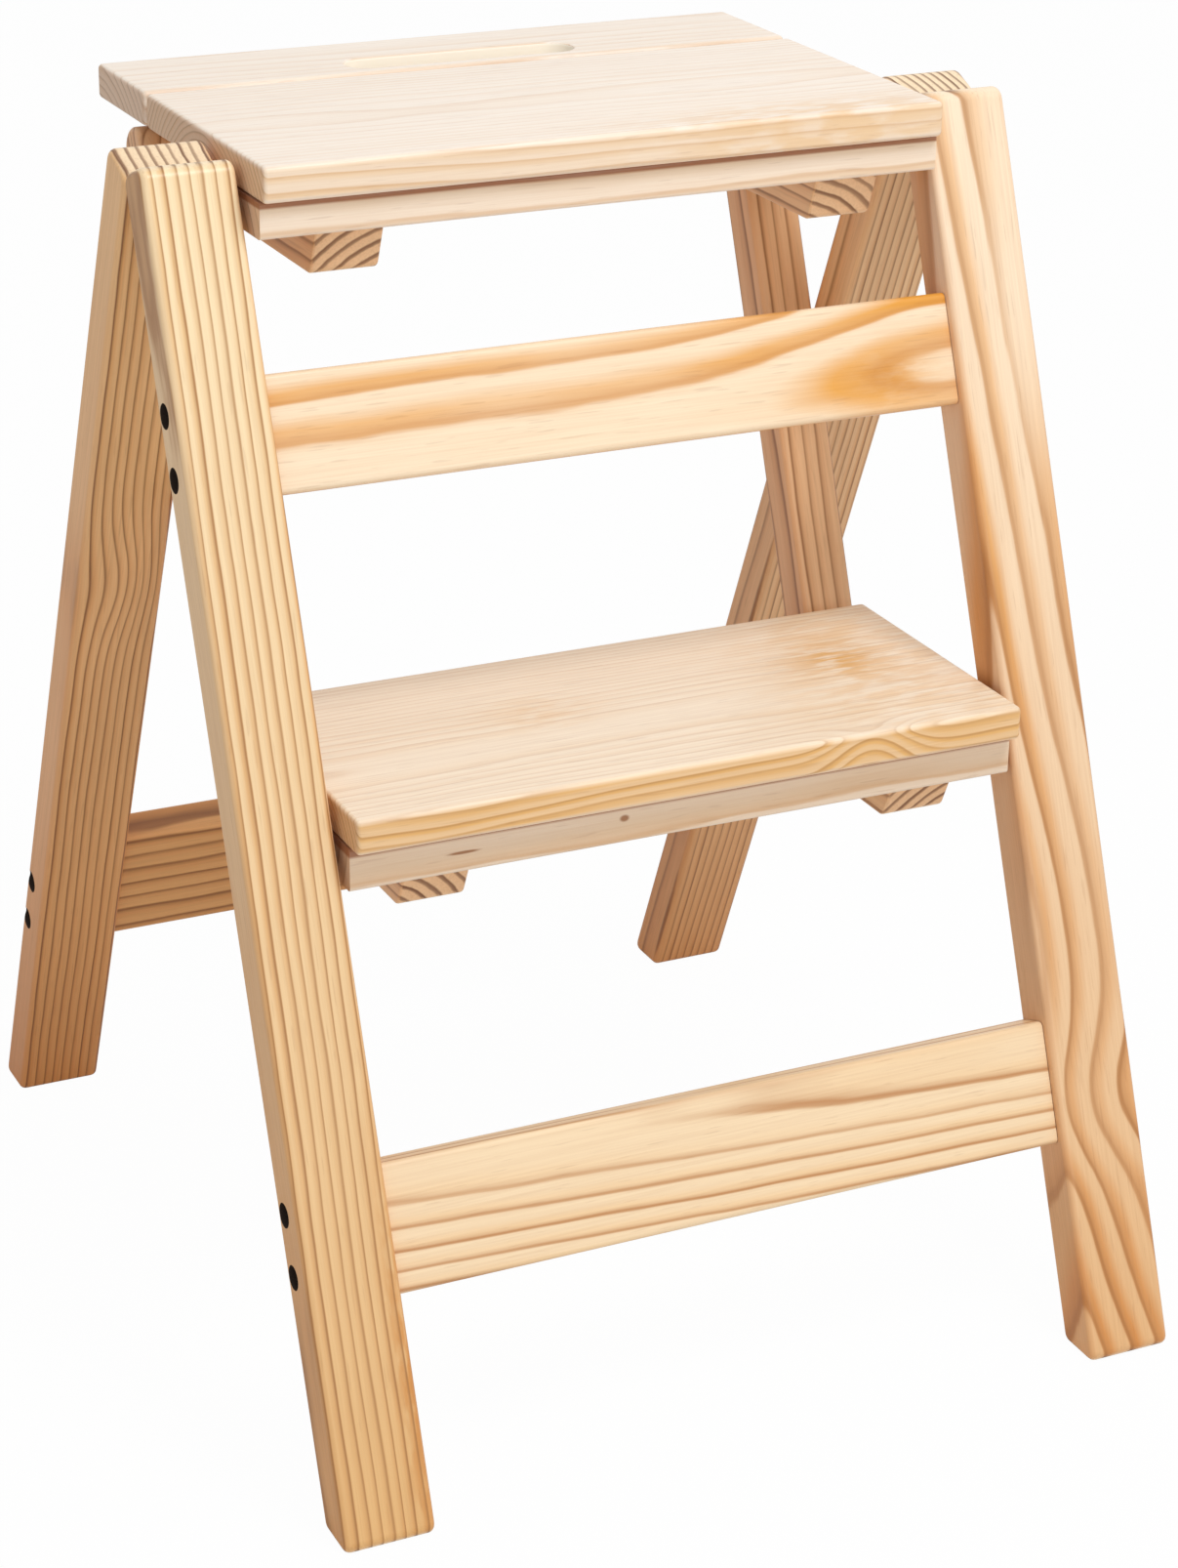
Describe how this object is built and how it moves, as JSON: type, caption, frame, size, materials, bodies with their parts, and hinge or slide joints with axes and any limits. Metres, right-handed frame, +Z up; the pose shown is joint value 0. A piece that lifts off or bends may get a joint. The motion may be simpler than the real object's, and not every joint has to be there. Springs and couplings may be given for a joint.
{
  "type": "folding step stool",
  "caption": "Folding wooden step stool: leaning front and rear leg frames, a seat with a handle slot and a lower step, tied by links so that all fold together.",
  "frame": {"origin": "on the floor, in the middle of the four feet", "axes": "+Z up, +Y from the front frame to the rear frame, +X along the rails"},
  "size_m": [0.39, 0.4554, 0.52],
  "materials": {
    "pine": "clear satin lacquer",
    "steel": "bright zinc",
    "black_steel": "black phosphate"
  },
  "bodies": {
    "front_frame": {"front_leg_left": "pine", "front_leg_right": "pine", "front_upper_rail": "pine", "front_lower_rail": "pine", "front_upper_screw_left_lower": "black_steel", "front_upper_screw_left_upper": "black_steel", "front_upper_screw_right_lower": "black_steel", "front_upper_screw_right_upper": "black_steel", "front_lower_screw_left_lower": "black_steel", "front_lower_screw_left_upper": "black_steel", "front_lower_screw_right_lower": "black_steel", "front_lower_screw_right_upper": "black_steel", "seat_pivot_pin_left": "steel", "seat_pivot_pin_right": "steel", "step_pivot_pin_left": "steel", "step_pivot_pin_right": "steel"},
    "seat": {"seat_main_board": "pine", "seat_rear_slat": "pine", "seat_front_batten": "pine", "seat_cleat_left": "pine", "seat_cleat_right": "pine"},
    "step": {"step_board": "pine", "step_front_batten": "pine", "step_cleat_left": "pine", "step_cleat_right": "pine"},
    "links": {"link_left": "pine", "link_right": "pine", "link_step_pin_left": "steel", "link_step_pin_right": "steel", "link_seat_pin_left": "steel", "link_seat_pin_right": "steel"},
    "rear_frame": {"rear_leg_left": "pine", "rear_leg_right": "pine", "rear_lower_rail": "pine", "rear_lower_screw_left_lower": "black_steel", "rear_lower_screw_left_upper": "black_steel", "rear_lower_screw_right_lower": "black_steel", "rear_lower_screw_right_upper": "black_steel", "rear_pivot_pin_left": "steel", "rear_pivot_pin_right": "steel"}
  },
  "joints": [
    {"name": "seat_fold", "type": "hinge", "parent": "front_frame", "child": "seat", "pos_m": [0, -0.02329, 0.4972], "axis": [1, 0, 0], "range_deg": [0, 67]},
    {"name": "step_fold", "type": "hinge", "parent": "front_frame", "child": "step", "pos_m": [0, -0.11647, 0.25445], "axis": [1, 0, 0], "range_deg": [0, 67]},
    {"name": "link_fold", "type": "hinge", "parent": "step", "child": "links", "pos_m": [0, 0.00384, 0.23725], "axis": [1, 0, 0], "range_deg": [-67, 0]},
    {"name": "rear_frame_fold", "type": "hinge", "parent": "links", "child": "rear_frame", "pos_m": [0, 0.05733, 0.37659], "axis": [-1, 0, 0], "range_deg": [0, 38]}
  ],
  "couplings": [
    {"joint": "step_fold", "follows": "seat_fold", "ratio": 1},
    {"joint": "link_fold", "follows": "seat_fold", "ratio": -1},
    {"joint": "rear_frame_fold", "follows": "seat_fold", "ratio": 0.567}
  ]
}
